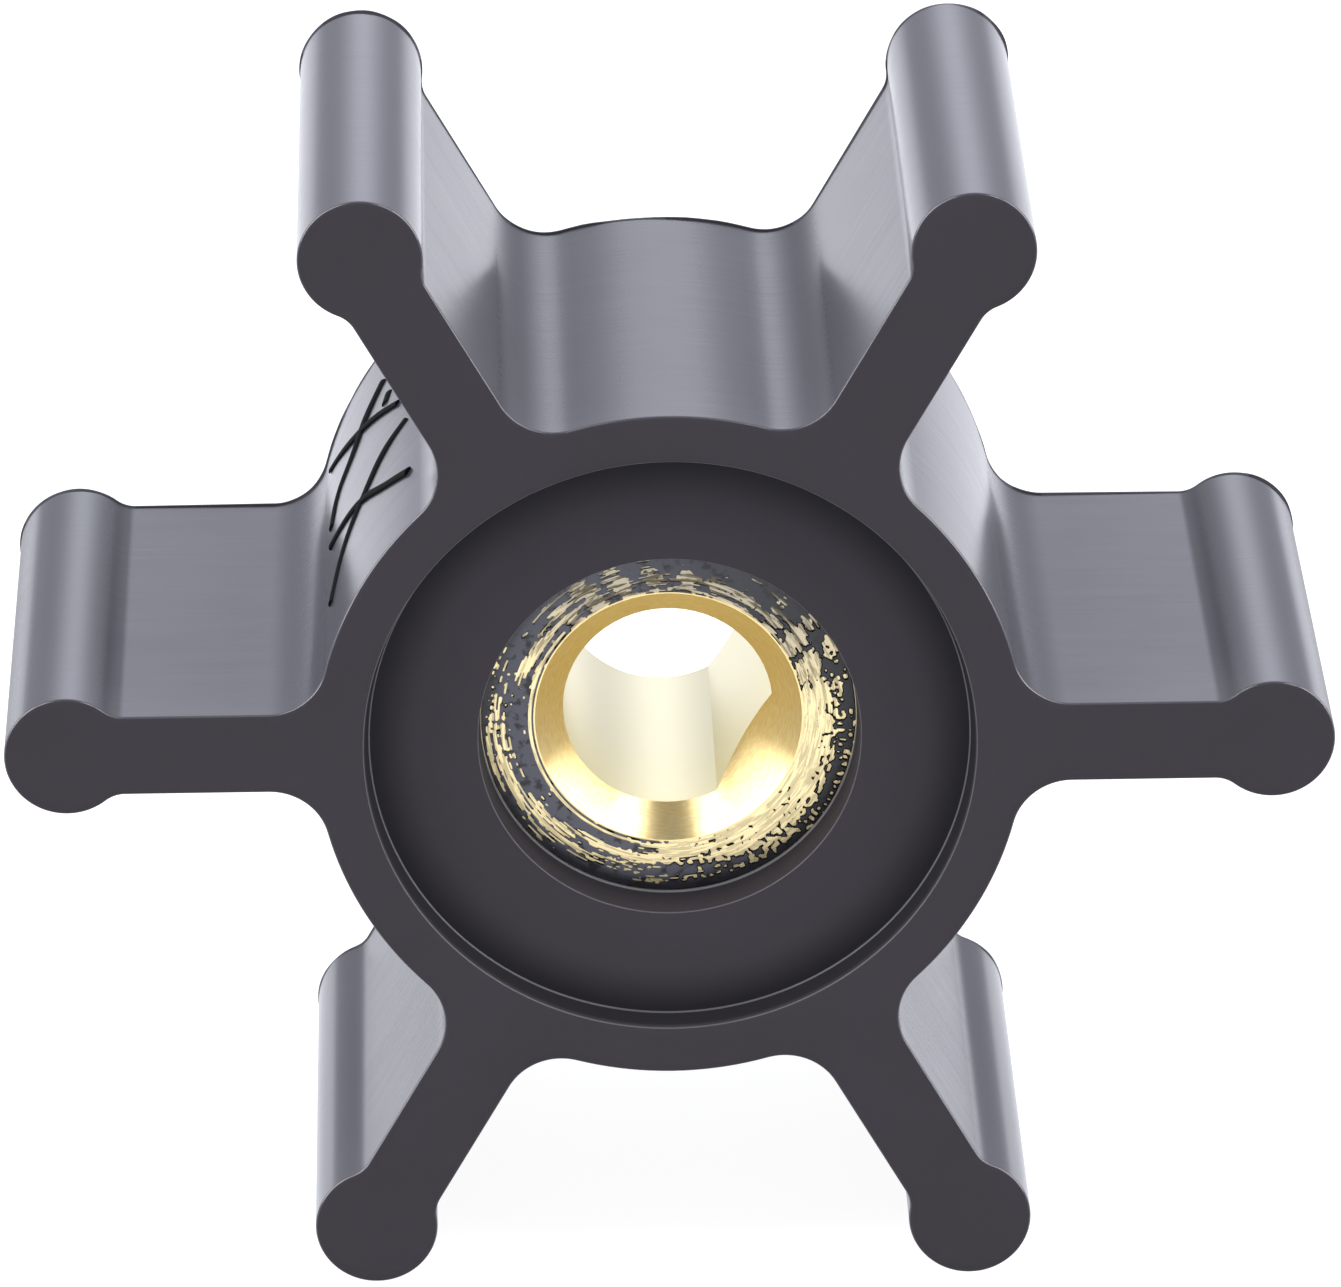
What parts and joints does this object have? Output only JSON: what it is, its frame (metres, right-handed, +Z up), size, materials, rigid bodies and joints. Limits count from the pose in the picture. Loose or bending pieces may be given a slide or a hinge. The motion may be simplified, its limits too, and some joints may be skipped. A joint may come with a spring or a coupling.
{
  "type": "flexible pump impeller",
  "caption": "Flexible rubber pump impeller with straight radial blades, round blade tips and a moulded-in brass bush that has a D-shaped shaft bore.",
  "frame": {"origin": "on the shaft axis, half way along the impeller, which is also the centre of its box", "axes": "+Y runs along the shaft axis from the front end face to the rear one, +X runs along one blade, +Z is up as it stands on the tips of its two lower blades"},
  "size_m": [0.051, 0.022, 0.0448],
  "materials": {
    "black_rubber": "matte moulded nitrile rubber, satin on the moulded sides",
    "turned_brass": "turned brass with rubber residue on its end faces"
  },
  "bodies": {
    "root": {"rubber_body": "black_rubber", "drive_insert": "turned_brass"}
  },
  "joints": []
}
